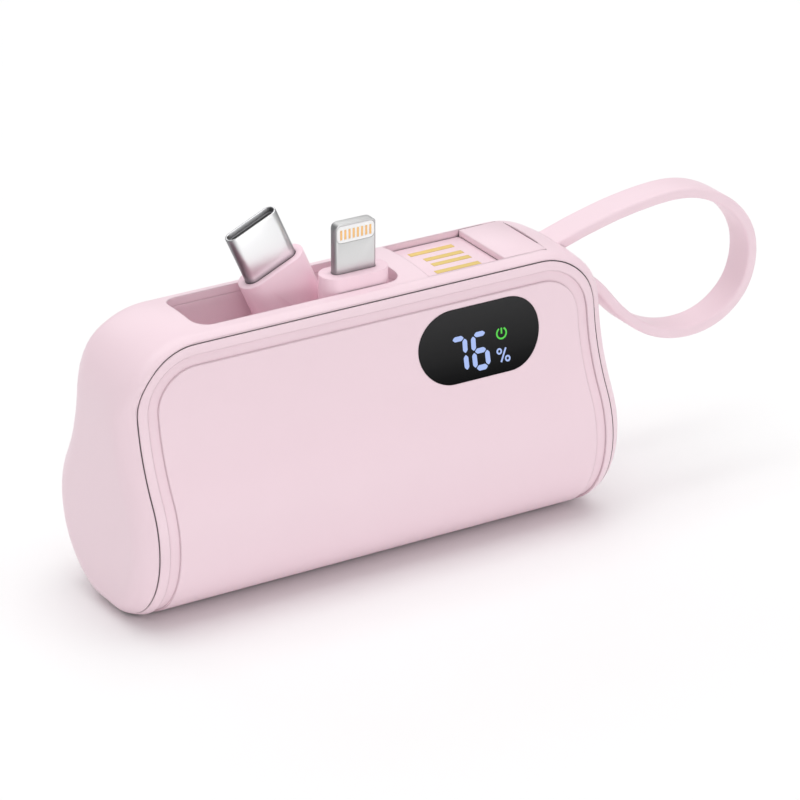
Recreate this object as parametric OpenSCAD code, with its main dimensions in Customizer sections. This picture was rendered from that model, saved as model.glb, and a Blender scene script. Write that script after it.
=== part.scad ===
/* [Cell] */
// Diameter of the round lithium cell
cell_d = 21.2; // [18:0.1:26]
// Length of the cell with its positive button
cell_len = 70.4; // [65:0.1:90]
// Room between the cell and the inside of the casing
cell_gap = 1.55; // [1.5:0.05:3]
// Room between each end of the cell and the inside of the end wall
cell_end_gap = 2.2; // [2:0.1:5]

/* [Casing] */
// Thickness of the two covers
wall = 1.6; // [1.2:0.1:2.2]
// Radius of the hollow between the round lower body and the neck
waist_r = 28; // [20:1:40]
// Height of the upright neck under the deck
neck_h = 7.2; // [6:0.05:12]
// Radius of the slightly crowned deck, seen from the end
crown_r = 45; // [35:1:80]
// Rounding between the deck and the neck
deck_r = 2.2; // [1.5:0.1:3]
// Rounding of the two ends
end_r = 4.4; // [3:0.1:5]
// How far the flat of the base cuts into the round lower body
base_cut = 0.35; // [0.1:0.05:0.8]

/* [Covers] */
// Distance from each end of the casing to the seam of a cover
seam_in = 2.5; // [2:0.1:4]
// Distance from the top of the deck down to the seam
seam_drop = 1.5; // [1.2:0.1:1.8]
// Radius of a cover's two top corners
cover_corner = 9; // [7:0.5:12]
// Width of the visible gap at the seam
seam_gap = 0.15; // [0.1:0.05:0.3]
// Width of the raised border round each cover
border_w = 1.4; // [1:0.1:3]
// Width of the shallow groove inside the border
groove_w = 1.6; // [1:0.1:3]
// Depth of that groove
groove_d = 0.3; // [0.2:0.05:0.5]

/* [Window] */
// Length of the display window
window_l = 19.7; // [14:0.1:24]
// Height of the display window
window_h = 10.6; // [8:0.1:12]
// Height of the window's centre below the top of the deck
window_drop = 10.7; // [9:0.1:12]
// Distance from the strap end of the casing to the window's centre
window_from_end = 22; // [18:0.5:30]
// Thickness of the window
window_t = 1.2; // [0.8:0.1:1.4]

/* [Folding plugs] */
// Width of each folding plug's housing, along the casing
arm_w = 10.4; // [9.5:0.1:12]
// Thickness of each folding plug's housing
arm_t = 4.7; // [4:0.1:6]
// Diameter of the hinge pins
pin_d = 1.5; // [1.2:0.1:2]
// Distance between the two hinge pins
pin_pitch = 6.5; // [5:0.5:10]
// Room past the tip of the folded C plug for a fingertip
finger_room = 3.1; // [1:0.1:8]
// Height of the C plug's housing above its pin
c_arm_h = 8.5; // [7.5:0.1:11]
// Length of the C plug's shell outside its housing
c_shell_out = 7.6; // [6.5:0.1:9]
// How far the C plug leans over at rest, in degrees
c_lean = 24; // [0:1:40]
// Height of the phone plug's housing above its pin
phone_arm_h = 7.15; // [6.5:0.05:9]
// Width of the phone plug's flat tab
tab_w = 6.7; // [6:0.1:7.5]
// Thickness of the phone plug's flat tab
tab_t = 1.5; // [1.3:0.1:2]
// Length of that tab outside its housing
tab_out = 7.3; // [6.5:0.1:9]

/* [Strap plug] */
// Length of the plug's tongue outside its grip
tongue_l = 12; // [11:0.1:14]
// Width of the plug's tongue and grip
tongue_w = 12; // [11.5:0.1:14]
// Thickness of the plug's tongue
tongue_t = 2; // [1.6:0.1:2.4]
// Length of the plug's grip
grip_l = 6.9; // [5:0.1:10]
// Thickness of the plug's grip
grip_t = 5.6; // [4.6:0.1:7]
// Distance from the plug's pocket to the strap end of the casing
pocket_from_end = 9.6; // [9:0.1:14]
// Width of deck between the plug's pocket and the folding plugs' slot
deck_web = 3.5; // [3:0.1:8]

/* [Strap] */
// Width of the flat strap cable
strap_w = 5; // [4:0.1:6]
// Thickness of the flat strap cable
strap_t = 1.6; // [1.4:0.1:1.8]

/* [Hidden] */

$fn = 48;
pink = "#f3d3e0";
plug_pink = "#eab8cc";
steel = "#c9c9cc";
gold = "#d9bc63";
black = "#262628";
big = 200;
fit = 0.02;        // gap round a part that is pressed or glued in
run = 0.05;        // gap beside a part that turns or slides

// Plug bay, across the casing
rib_t = 0.6;
washer_t = 0.2;
bay_wall = 1;
lane = rib_t / 2 + run + arm_t / 2;
slot_w = 2 * (rib_t / 2 + run + arm_t + washer_t + run);
slot_r = 2.4;
pocket_gap = 0.1;
pocket_side = 1.9;
neck_w = max(slot_w + 2 * (bay_wall + 0.1 + wall), tongue_w + 2 * (pocket_gap + pocket_side));

// Casing outline, seen from the end
bulb_r = cell_d / 2 + cell_gap + wall;
bulb_z = bulb_r - base_cut;
waist_y = neck_w / 2 + waist_r;
waist_z = bulb_z + sqrt(pow(bulb_r + waist_r, 2) - pow(waist_y, 2));
waist_a = atan2(waist_z - bulb_z, waist_y);
half = cell_len / 2 + cell_end_gap + wall;
corner_r = cover_corner + seam_in;

// Board over the cell, and the deck high enough for the plug bay to clear the board's chips
cell_z = bulb_z;
foam_t = 1.6;
board_z = cell_z + cell_d / 2 + foam_t;
board_t = 1;
board_top = board_z + board_t;
chip_t = 0.9;
chip_gap = 0.2;
plug_drop = 0.3;
plug_under = 0.35;
bay_floor_t = 1.1;
bay_depth = plug_drop + arm_w + plug_under + bay_floor_t;
top_z = max(waist_z + neck_h, board_top + chip_t + chip_gap + bay_depth);
skin_gap = 0.05;
ledge_t = 0.85;
deck_under = top_z - wall;
inside_y = neck_w / 2 - wall - skin_gap;

// Deck layout, from the strap end towards the other
grip_x1 = half - pocket_from_end - run;
grip_x0 = grip_x1 - grip_l;
tip_x = grip_x0 - tongue_l;
tip_gap = 0.4;
pocket_x0 = tip_x - tip_gap;
pocket_x1 = half - pocket_from_end;
grip_z1 = top_z - 0.4;
grip_z0 = grip_z1 - grip_t;
tongue_z = grip_z1 - 1;
pocket_z = grip_z0 - 0.2;
pocket_wall = 1.2;
slot_x1 = pocket_x0 - deck_web;
phone_x = slot_x1 - 1.4 - arm_w / 2;
c_x = phone_x - pin_pitch;
slot_x0 = c_x - c_arm_h - c_shell_out - finger_room;
pivot_z = top_z - plug_drop - arm_w / 2;
bay_floor = pivot_z - arm_w / 2 - plug_under;
rib_top = pivot_z + 1.6;

// Inside the casing
board_side_gap = 0.25;
board_w = 2 * (waist_y - sqrt(pow(waist_r + wall + skin_gap + ledge_t, 2) - pow(waist_z - board_top, 2))
               - board_side_gap);
board_l = cell_len - 0.4;
window_x = half - window_from_end;
window_z = top_z - window_drop;
post_d = 4;
post_x = cell_len / 2 - 3.2;
screw_d = 1.4;
head_d = 2.6;
tab_strip_t = 0.15;
ear_l = 3.1;
ear_z = pivot_z - 1;
ear_t = 1.2;
ear_screw_x = slot_x0 - bay_wall - ear_l / 2;
ear_screw_y = 3.6;
module_l = 17;
module_y0 = 0.15 - inside_y;
module_y1 = module_y0 + 2.2;
module_z1 = pocket_z - pocket_wall - 0.4;

// C plug and phone plug, each drawn upright with its pin at the origin
c_shell_w = 8.25;
c_shell_t = 2.4;
c_shell_wall = 0.3;
c_root = 2.2;
tab_root = 2.6;
insert_w = 5.9;
insert_h = 2.45;
insert_top = 0.35;

// Strap: distance past the end of the casing, and height below the top of the deck
strap_route = [[-9.6, -3.2], [-8, -3.2], [-6.8, -2.9], [-3.9, -2.1], [-1, -1.2], [1.9, -0.5], [4.8, 0.2],
               [7.8, 0.7], [10.8, 1.1], [13.8, 1.3], [16.7, 1.2], [19.7, 0.5], [22.4, -0.8], [24.9, -2.5],
               [26.9, -4.7], [28.3, -7.3], [28.8, -10.2], [28.5, -13.2], [27.4, -16], [25.4, -18.2],
               [22.9, -19.8], [20, -20.6], [17, -20.7], [14, -20.2], [11.2, -19.1], [8.7, -17.5],
               [6.4, -15.5], [4.4, -13.3], [2.6, -11], [0.9, -9.3], [-0.9, -8.1], [-2.7, -7.2]];
strap_steps = 2;
strap_wall = 1.2;
anchor_w = strap_w + 3;
anchor_h = 5;
anchor_in = 4;
anchor_lip = 0.4;
anchor_z = top_z - 8.2;
tunnel_gap = 0.2;

function arc(cx, cy, r, a0, a1, n) =
    [for (i = [0:n]) let (a = a0 + (a1 - a0) * i / n) [cx + r * cos(a), cy + r * sin(a)]];

// Right half of the casing's cross section, moved inwards by t, with its crown at z and a shoulder of radius r
function half_outline(t, z, r) =
    let (crown_z = z - crown_r + t,
         core = crown_r - t - r,
         side = waist_r + t,
         neck_cz = crown_z + sqrt(core * core - pow(neck_w / 2 - t - r, 2)),
         cy = waist_y - sqrt(side * side - pow(max(waist_z - neck_cz, 0), 2)) - r,
         cz = crown_z + sqrt(core * core - cy * cy),
         base_y = sqrt(pow(bulb_r - t, 2) - pow(bulb_z - t, 2)),
         base_a = atan2(t - bulb_z, base_y),
         waist_end = 180 + asin(max(waist_z - cz + 0.6, 0) / side),
         deck_a = atan2(cz - crown_z, cy))
    concat(arc(0, bulb_z, bulb_r - t, base_a, waist_a, 12),
           arc(waist_y, waist_z, side, 180 + waist_a - 4, waist_end, 5),
           arc(cy, cz, r, 0, deck_a, 5),
           arc(0, crown_z, crown_r - t, deck_a + (90 - deck_a) / 3, 90, 2));

function outline(t, z, r) =
    let (h = half_outline(t, z, r), n = len(h))
    concat(h, [for (i = [n - 2:-1:0]) [-h[i][0], h[i][1]]]);

function shoulder(t) = max(deck_r - t, 0.05);

// The whole casing shape, moved inwards by t: its deck curves down at both ends, and the ends are rounded
module casing_form(t) {
    corner_x = half - corner_r;
    end_x = half - end_r;
    bend = asin((end_x - corner_x) / (corner_r - t));
    rims = concat([for (i = [0:2]) [corner_x + (corner_r - t) * sin(bend * i / 3), t]],
                  [for (i = [0:5]) [end_x + (end_r - t) * sin(18 * i), end_r - (end_r - t) * cos(18 * i)]]);
    rings = concat([for (i = [len(rims) - 1:-1:0]) [-rims[i][0], rims[i][1]]], rims);
    sections = [for (ring = rings)
                let (x = abs(ring[0]),
                     z = top_z - corner_r + sqrt(max(pow(corner_r - t, 2) - pow(x - corner_x, 2), 0)),
                     r = min(shoulder(t) + 0.3 * (ring[1] - t), neck_w / 2 - ring[1] - 0.1))
                outline(ring[1], z, r)];
    n = len(sections[0]);
    last = len(rings) - 1;
    points = [for (k = [0:last]) for (p = sections[k]) [rings[k][0], p[0], p[1]]];
    sides = [for (k = [0:last - 1]) for (i = [0:n - 1]) let (j = (i + 1) % n, a = k * n, b = a + n)
             each [[b + j, a + j, a + i], [b + i, b + j, a + i]]];
    caps = [[for (i = [0:n - 1]) i], [for (i = [n - 1:-1:0]) last * n + i]];
    polyhedron(points, concat(sides, caps));
}

// A block through the casing from front to back, cut to a cover's outline moved inwards by t
module cover_block(t, z0 = -5) {
    r = cover_corner - t;
    x = half - seam_in - t;
    z = top_z - seam_drop - t;
    rotate([90, 0, 0])
        linear_extrude(height = 60, center = true)
            polygon(concat([[x, z0]], arc(x - r, z - r, r, 0, 90, 8), arc(r - x, z - r, r, 90, 180, 8), [[-x, z0]]));
}

module stadium(l, w) {
    polygon(concat(arc((l - w) / 2, 0, w / 2, -90, 90, 12), arc((w - l) / 2, 0, w / 2, 90, 270, 12)));
}

module rounded(l, w, r) {
    polygon(concat(arc(l / 2 - r, r - w / 2, r, -90, 0, 5), arc(l / 2 - r, w / 2 - r, r, 0, 90, 5),
                   arc(r - l / 2, w / 2 - r, r, 90, 180, 5), arc(r - l / 2, r - w / 2, r, 180, 270, 5)));
}

module box(x0, x1, y0, y1, z0, z1) {
    translate([x0, y0, z0]) cube([x1 - x0, y1 - y0, z1 - z0]);
}

module along_y(d, y0, y1) {
    translate([0, y1, 0]) rotate([90, 0, 0]) cylinder(d = d, h = y1 - y0);
}

module at_c_pin() {
    translate([c_x, lane, pivot_z]) rotate([0, -c_lean, 0]) children();
}

module at_phone_pin() {
    translate([phone_x, -lane, pivot_z]) children();
}

module window_form(t) {
    translate([window_x, 0, window_z])
        rotate([90, 0, 0])
            linear_extrude(height = 30)
                stadium(window_l - 2 * t, window_h - 2 * t);
}

module slot_form(grow, z0, z1) {
    translate([(slot_x0 + slot_x1) / 2, 0, z0])
        linear_extrude(height = z1 - z0)
            rounded(slot_x1 - slot_x0 + 2 * grow, slot_w + 2 * grow, slot_r + grow);
}

// A flat band swept along points in the XZ plane, each point given its own width and thickness
module band(points, w, t) {
    n = len(points) - 1;
    function heading(i) =
        let (d = points[min(i + 1, n)] - points[max(i - 1, 0)])
        atan2(d[1], d[0]);
    section = concat(arc((w - t) / 2, 0, t / 2, -90, 90, 4), arc((t - w) / 2, 0, t / 2, 90, 270, 4));
    m = len(section);
    rings = [for (i = [0:n]) for (s = section)
             [points[i][0] - s[1] * sin(heading(i)), s[0], points[i][1] + s[1] * cos(heading(i))]];
    sides = [for (k = [0:n - 1]) for (i = [0:m - 1]) let (j = (i + 1) % m, a = k * m, b = a + m)
             each [[a + j, a + i, b + j], [b + j, a + i, b + i]]];
    polyhedron(rings, concat(sides, [[for (i = [0:m - 1]) i]], [[for (i = [m - 1:-1:0]) n * m + i]]));
}

// Points of a smooth curve through the route, strap_steps to each stretch
function smooth(p) =
    let (n = len(p) - 1)
    concat([for (i = [0:n - 1]) for (k = [0:strap_steps - 1])
            let (u = k / strap_steps, a = p[max(i - 1, 0)], b = p[i], c = p[i + 1], d = p[min(i + 2, n)])
            0.5 * (2 * b + (c - a) * u + (2 * a - 5 * b + 4 * c - d) * u * u
                   + (3 * b - a - 3 * c + d) * u * u * u)], [p[n]]);

strap_points = [for (p = smooth(strap_route)) [half + p[0], top_z + p[1]]];

module mid_frame() {
    color(pink)
        difference() {
            union() {
                difference() {
                    casing_form(0);
                    casing_form(wall + skin_gap + ledge_t);
                    difference() {
                        cover_block(-seam_gap / 2);
                        casing_form(wall + skin_gap);
                        box(-big, big, -inside_y, inside_y, waist_z, big);
                    }
                    cover_block(2.5, 4.5);
                    intersection() {
                        casing_form(wall);
                        box(slot_x0 - 9, half - 4, -inside_y - fit, inside_y + fit, waist_z - 12, big);
                    }
                    box(slot_x0 - bay_wall - run, slot_x1 + bay_wall + run, -inside_y - fit, inside_y + fit,
                        waist_z - 12, deck_under);
                }
                intersection() {
                    casing_form(1);
                    frame_blocks();
                }
            }
            slot_form(0, deck_under - 1, top_z + 1);
            box(pocket_x0, pocket_x1, -tongue_w / 2 - pocket_gap, tongue_w / 2 + pocket_gap, pocket_z, top_z + 1);
            strap_tunnel();
            anchor_form(fit);
            for (s = [-1, 1])
                translate([ear_screw_x, s * ear_screw_y, ear_z])
                    cylinder(d = screw_d + 2 * fit, h = deck_under - ear_z);
            for (s = [-1, 1])
                translate([s * post_x, 0, board_z])
                    cylinder(d = screw_d + 2 * fit, h = 5);
        }
}

// Blocks and posts that stand inside the frame: the pocket, the strap's block, and the screw posts
module frame_blocks() {
    box(pocket_x0 - pocket_wall, pocket_x1 + pocket_wall, -inside_y, inside_y, pocket_z - pocket_wall, top_z);
    box(pocket_x1, half - 2, -anchor_w / 2 - strap_wall, anchor_w / 2 + strap_wall,
        anchor_z - anchor_h / 2 - strap_wall, top_z);
    translate([-post_x, 0, board_top]) cylinder(d = post_d, h = top_z - board_top);
    translate([post_x, 0, board_top]) cylinder(d = post_d, h = anchor_z - anchor_h / 2 - board_top);
    for (s = [-1, 1])
        translate([ear_screw_x, s * ear_screw_y, ear_z + ear_t])
            cylinder(d = 3, h = top_z - ear_z - ear_t);
}

// The way through the end wall for the upper end of the strap
module strap_tunnel() {
    mouth = [for (i = [0:len(strap_points) - 1]) if (i < 12) strap_points[i]];
    band(concat([mouth[0] - [1, 0]], mouth), strap_w + 2 * tunnel_gap, strap_t + 2 * tunnel_gap);
}

module anchor_form(grow) {
    translate([half - anchor_in - grow, 0, anchor_z])
        rotate([0, 90, 0])
            linear_extrude(height = anchor_in + 2)
                rounded(anchor_h + 2 * grow, anchor_w + 2 * grow, 1);
}

module cover_shell() {
    difference() {
        intersection() {
            casing_form(0);
            cover_block(seam_gap / 2);
            box(-big, big, -big, -seam_gap / 2, -big, big);
        }
        casing_form(wall);
        box(-big, big, wall - neck_w / 2, big, waist_z, big);
        difference() {
            cover_block(border_w);
            cover_block(border_w + groove_w);
            casing_form(groove_d);
        }
    }
}

module front_cover() {
    color(pink)
        difference() {
            cover_shell();
            window_form(-skin_gap);
        }
}

module back_cover() {
    color(pink) mirror([0, 1, 0]) cover_shell();
}

module display_window() {
    color(black)
        intersection() {
            window_form(0);
            rotate([90, 0, 90])
                linear_extrude(height = 2 * half, center = true)
                    difference() {
                        polygon(outline(0, top_z, shoulder(0)));
                        polygon(outline(window_t, top_z - window_t, shoulder(window_t)));
                    }
        }
}

module display_module() {
    color("#1d1d20")
        box(window_x - module_l / 2, window_x + module_l / 2, module_y0, module_y1, board_top, module_z1);
}

// One bar of a seven-bar digit, with pointed ends
module bar(l, w) {
    polygon([[-l / 2, 0], [(w - l) / 2, w / 2], [(l - w) / 2, w / 2], [l / 2, 0], [(l - w) / 2, -w / 2],
             [(w - l) / 2, -w / 2]]);
}

module digit(bars) {
    w = 2.15;
    h = 2.35;
    places = [[0, h, 0], [w / 2, h / 2, 90], [w / 2, -h / 2, 90], [0, -h, 0], [-w / 2, -h / 2, 90],
              [-w / 2, h / 2, 90], [0, 0, 0]];
    for (i = bars)
        translate([places[i][0], places[i][1]]) rotate(places[i][2]) bar((places[i][2] == 0 ? w : h) - 0.15, 0.7);
}

module display_digits() {
    color("#a9bff5")
        translate([window_x, module_y0, (board_top + module_z1) / 2])
            rotate([90, 0, 0])
                linear_extrude(height = 0.15) {
                    translate([-2.75, 0]) digit([0, 1, 2]);
                    translate([0.6, 0]) digit([0, 2, 3, 4, 5, 6]);
                    translate([4, 1.5]) difference() {
                        circle(d = 1.8);
                        circle(d = 1.1);
                    }
                    translate([4, -1.3]) rotate(60) square([2, 0.3], center = true);
                }
}

module display_pins() {
    color(gold)
        for (i = [0:7])
            translate([window_x + (i - 3.5) * 1.8, (module_y0 + module_y1) / 2, board_z - 0.6])
                cylinder(d = 0.4, h = board_t + 0.6);
}

module plug_bay() {
    color(pink)
        difference() {
            union() {
                slot_form(bay_wall, bay_floor - bay_floor_t, deck_under - skin_gap);
                box(slot_x0 - bay_wall - ear_l, slot_x0 + 0.5, -5.4, 5.4, ear_z, ear_z + ear_t);
            }
            difference() {
                slot_form(0, bay_floor, top_z);
                box(c_x - arm_w / 2, slot_x1 + 1, -rib_t / 2, rib_t / 2, bay_floor - 1, rib_top);
            }
            translate([c_x, 0, pivot_z]) along_y(pin_d + 2 * fit, -0.1, big);
            translate([phone_x, 0, pivot_z]) along_y(pin_d + 2 * fit, -big, 0.1);
            for (s = [-1, 1])
                translate([ear_screw_x, s * ear_screw_y, ear_z - 1])
                    cylinder(d = screw_d + 2 * run, h = ear_t + 2);
        }
}

module screw(l) {
    cylinder(d = screw_d, h = l);
    translate([0, 0, -0.8]) cylinder(d = head_d, h = 0.8);
}

module bay_screws() {
    color(steel)
        for (s = [-1, 1])
            translate([ear_screw_x, s * ear_screw_y, ear_z]) screw(4.2);
}

module board_screws() {
    color(steel)
        for (s = [-1, 1])
            translate([s * post_x, 0, board_z]) screw(4.5);
}

module along_cell(x0, x1, r) {
    translate([x0, 0, cell_z]) rotate([0, 90, 0]) cylinder(r = r, h = x1 - x0);
}

module battery_cell() {
    r = cell_d / 2;
    can = cell_len - 0.8;
    color("#3f6fa8")
        difference() {
            along_cell(-cell_len / 2, can - cell_len / 2, r);
            difference() {
                along_cell(can - cell_len / 2 - 4, can - cell_len / 2 - 3, r + 1);
                along_cell(can - cell_len / 2 - 5, can - cell_len / 2 - 2, r - 0.6);
            }
        }
}

module cell_insulator_ring() {
    color("#e8e4d8")
        difference() {
            along_cell(cell_len / 2 - 0.8, cell_len / 2 - 0.5, cell_d / 2 - 0.6);
            along_cell(cell_len / 2 - 1, cell_len / 2, 4.3);
        }
}

module cell_positive_cap() {
    color(steel) along_cell(cell_len / 2 - 0.8, cell_len / 2, 4);
}

// Nickel strips that run up each end of the cell and over the end of the board
module cell_tabs() {
    x = cell_len / 2;
    color(steel)
        for (s = [-1, 1]) {
            box(min(s * x, s * (x + tab_strip_t)), max(s * x, s * (x + tab_strip_t)), -2.5, 2.5,
                cell_z - 3, board_top + tab_strip_t);
            box(min(s * (x - 1), s * x), max(s * (x - 1), s * x), -2.5, 2.5, board_top, board_top + tab_strip_t);
        }
}

// Foam pads under the board, shaped over the cell
module cell_foam_pads() {
    color("#4a4a4e")
        for (x = [-20, 20])
            difference() {
                box(x - 6, x + 6, -4, 4, cell_z + cell_d / 2 - 0.9, board_z);
                along_cell(x - 8, x + 8, cell_d / 2 + 2 * run);
            }
}

module circuit_board() {
    color("#1f6b45")
        difference() {
            translate([0, 0, board_z]) linear_extrude(height = board_t) rounded(board_l, board_w, 2);
            for (s = [-1, 1])
                translate([s * post_x, 0, board_z - 1]) cylinder(d = screw_d + 2 * run, h = board_t + 2);
            for (i = [0:7])
                translate([window_x + (i - 3.5) * 1.8, (module_y0 + module_y1) / 2, board_z - 1])
                    cylinder(d = 0.4 + 2 * fit, h = board_t + 2);
        }
}

module board_chips() {
    color(black)
        for (c = [[-24, 2, 5, 5], [-15, -2, 4, 4], [-8, 2.5, 6, 3.5], [0, -2, 3, 3], [4, 3, 3, 1.6]])
            translate([c[0], c[1], board_top]) linear_extrude(height = chip_t) square([c[2], c[3]], center = true);
}

module power_inductor() {
    color("#55565a")
        translate([window_x - 2, 2.2, board_top]) {
            linear_extrude(height = 3) rounded(6.6, 6.6, 1);
        }
}

module board_capacitors() {
    color("#b9a27a")
        for (x = [5, 8.4])
            translate([window_x + x, 1.5, board_top]) linear_extrude(height = 2) square([2, 3.2], center = true);
}

module c_hinge_pin() {
    color(steel)
        translate([c_x, 0, pivot_z]) along_y(pin_d, -0.05, slot_w / 2 + bay_wall);
}

module phone_hinge_pin() {
    color(steel)
        translate([phone_x, 0, pivot_z]) along_y(pin_d, -slot_w / 2 - bay_wall, 0.05);
}

module hinge_washers() {
    color("#f5f2ea")
        for (s = [-1, 1])
            translate([s < 0 ? phone_x : c_x, s * (slot_w / 2 - washer_t / 2), pivot_z])
                difference() {
                    along_y(4, -washer_t / 2, washer_t / 2);
                    along_y(pin_d + 2 * fit, -1, 1);
                }
}

// A folding plug's housing: upright with round ends, and round below so that it turns in its bay
module arm(h) {
    r = arm_w / 2;
    difference() {
        intersection() {
            translate([0, 0, -r - 1]) linear_extrude(height = h + r + 1) stadium(arm_w, arm_t);
            rotate([90, 0, 0])
                linear_extrude(height = big, center = true)
                    polygon(concat([[-r - 1, h + 1], [-r - 1, 0]], arc(0, 0, r, 180, 360, 24), [[r + 1, 0], [r + 1, h + 1]]));
        }
        along_y(pin_d + 2 * run, -big, big);
    }
}

module c_tube(grow, z0, z1) {
    translate([0, 0, z0]) linear_extrude(height = z1 - z0) stadium(c_shell_w + 2 * grow, c_shell_t + 2 * grow);
}

module c_plug_housing() {
    color(plug_pink)
        at_c_pin()
            difference() {
                arm(c_arm_h);
                c_tube(fit, c_arm_h - c_root, c_arm_h + 1);
            }
}

module c_plug_shell() {
    color(steel)
        at_c_pin()
            difference() {
                c_tube(0, c_arm_h - c_root, c_arm_h + c_shell_out);
                c_tube(-c_shell_wall, c_arm_h - c_root - 1, c_arm_h + c_shell_out + 1);
            }
}

module c_plug_insert() {
    liner = 0.3;
    color("#3c3c40")
        at_c_pin()
            difference() {
                c_tube(-c_shell_wall - fit, c_arm_h - c_root, c_arm_h + c_shell_out - 0.7);
                c_tube(-c_shell_wall - fit - liner, c_arm_h + 1.4, c_arm_h + c_shell_out);
            }
}

module c_plug_contacts() {
    face = c_shell_t / 2 - c_shell_wall - fit - 0.3;
    color(gold)
        at_c_pin()
            for (i = [0:11])
                for (s = [-1, 1])
                    translate([(i - 5.5) * 0.5, s * (face - 0.05), c_arm_h + 3.9])
                        cube([0.25, 0.1, 5], center = true);
}

module phone_plug_housing() {
    color(plug_pink)
        at_phone_pin()
            difference() {
                arm(phone_arm_h);
                translate([0, 0, phone_arm_h - tab_root])
                    linear_extrude(height = tab_root + 1)
                        rounded(tab_w + 2 * fit, tab_t + 2 * fit, 0.6);
            }
}

// Outline of the tab, seen from the front
module tab_form() {
    z0 = phone_arm_h - tab_root;
    z1 = phone_arm_h + tab_out;
    r = 1.1;
    rotate([90, 0, 0])
        linear_extrude(height = 10, center = true)
            polygon(concat([[tab_w / 2, z0]], arc(tab_w / 2 - r, z1 - r, r, 0, 90, 6),
                           arc(r - tab_w / 2, z1 - r, r, 90, 180, 6), [[-tab_w / 2, z0]]));
}

module insert_form(grow, depth) {
    translate([0, 0, phone_arm_h + tab_out - insert_top - insert_h / 2])
        rotate([90, 0, 0])
            linear_extrude(height = depth, center = true)
                rounded(insert_w + 2 * grow, insert_h + 2 * grow, 0.7);
}

module phone_plug_tab() {
    color("#d8d8d8")
        at_phone_pin()
            difference() {
                intersection() {
                    translate([0, 0, phone_arm_h - tab_root])
                        linear_extrude(height = tab_root + tab_out)
                            rounded(tab_w, tab_t, 0.6);
                    tab_form();
                }
                insert_form(fit, 10);
            }
}

module phone_plug_insert() {
    color("#fbfbfb") at_phone_pin() insert_form(0, tab_t - 0.1);
}

module phone_plug_contacts() {
    pitch = 0.66;
    color(gold)
        at_phone_pin()
            for (i = [0:7])
                for (s = [-1, 1])
                    translate([(i - 3.5) * pitch, s * (tab_t / 2 - 0.025), phone_arm_h + tab_out - 1.62])
                        cube([0.3, 0.05, 1.4], center = true);
}

module usb_plug_grip() {
    color(pink)
        difference() {
            box(grip_x0, grip_x1, -tongue_w / 2, tongue_w / 2, grip_z0, grip_z1);
            box(grip_x0 - 1, grip_x0 + 3, -tongue_w / 2 + 0.8, tongue_w / 2 - 0.8,
                tongue_z - tongue_t - fit, tongue_z + fit);
        }
}

module usb_plug_tongue() {
    color(pink) {
        box(tip_x, grip_x0, -tongue_w / 2, tongue_w / 2, tongue_z - tongue_t, tongue_z);
        box(grip_x0, grip_x0 + 3 - fit, -tongue_w / 2 + 0.8 + fit, tongue_w / 2 - 0.8 - fit,
            tongue_z - tongue_t, tongue_z);
    }
}

module usb_plug_contacts() {
    color(gold)
        for (y = [-3.5, -1, 1, 3.5])
            box(tip_x + (abs(y) > 2 ? 2.3 : 3.3), tip_x + 9.5, y - 0.5, y + 0.5, tongue_z, tongue_z + 0.05);
}

module strap_anchor() {
    n = len(strap_points) - 1;
    root = [for (i = [n - 6:n]) strap_points[i]];
    color(plug_pink)
        difference() {
            intersection() {
                anchor_form(0);
                casing_form(-anchor_lip);
            }
            band(root, strap_w + 2 * fit, strap_t + 2 * fit);
        }
}

module strap_cable() {
    color(pink) band(strap_points, strap_w, strap_t);
}

mid_frame();
front_cover();
back_cover();
display_window();
display_module();
display_digits();
display_pins();
plug_bay();
bay_screws();
battery_cell();
cell_insulator_ring();
cell_positive_cap();
cell_tabs();
cell_foam_pads();
circuit_board();
board_screws();
board_chips();
power_inductor();
board_capacitors();
c_hinge_pin();
phone_hinge_pin();
hinge_washers();
c_plug_housing();
c_plug_shell();
c_plug_insert();
c_plug_contacts();
phone_plug_housing();
phone_plug_tab();
phone_plug_insert();
phone_plug_contacts();
usb_plug_grip();
usb_plug_tongue();
usb_plug_contacts();
strap_anchor();
strap_cable();
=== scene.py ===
# %% [markdown]
# # A pocket power bank in Blender
# The power bank has a round lower body round one lithium cell, a narrow neck with a lit display, two plugs
# that fold out of its deck, and a strap cable that ends in a flat USB plug. This lesson gives the packed
# CAD model its looks, piece by piece. The CAD model says where everything is, so nothing here is placed by
# eye.

# %% Load the frame
import math

import bmesh
import bpy
from mathutils import Matrix, Vector
from mathutils.bvhtree import BVHTree


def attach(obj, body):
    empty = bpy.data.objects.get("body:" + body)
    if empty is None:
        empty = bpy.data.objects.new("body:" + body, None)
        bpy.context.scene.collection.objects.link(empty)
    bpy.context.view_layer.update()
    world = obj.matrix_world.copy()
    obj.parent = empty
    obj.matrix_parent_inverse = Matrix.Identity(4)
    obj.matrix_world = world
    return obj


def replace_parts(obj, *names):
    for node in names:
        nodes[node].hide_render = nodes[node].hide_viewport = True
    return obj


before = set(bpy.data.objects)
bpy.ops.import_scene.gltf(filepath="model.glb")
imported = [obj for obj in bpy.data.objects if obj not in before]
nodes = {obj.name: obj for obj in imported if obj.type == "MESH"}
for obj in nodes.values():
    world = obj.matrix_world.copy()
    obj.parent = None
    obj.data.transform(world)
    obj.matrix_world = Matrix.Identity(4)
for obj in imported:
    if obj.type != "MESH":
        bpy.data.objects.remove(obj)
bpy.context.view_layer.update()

MM = 0.001

# %% [markdown]
# ## Camera
# The object is seen from the front left and from above, with a long lens, so that its edges stay nearly
# parallel. A camera can be turned by hand, or built from three directions. Directions are used here,
# because the angles then read as they would on a tripod: a turn, a tilt and a very small roll.

# %% Camera
turn, tilt, roll = math.radians(-31.44), math.radians(24.67), math.radians(0.197)
aim = Vector((7.49, -2.78, 21.9)) * MM
DISTANCE, LENS = 609.5, 196.3

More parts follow.
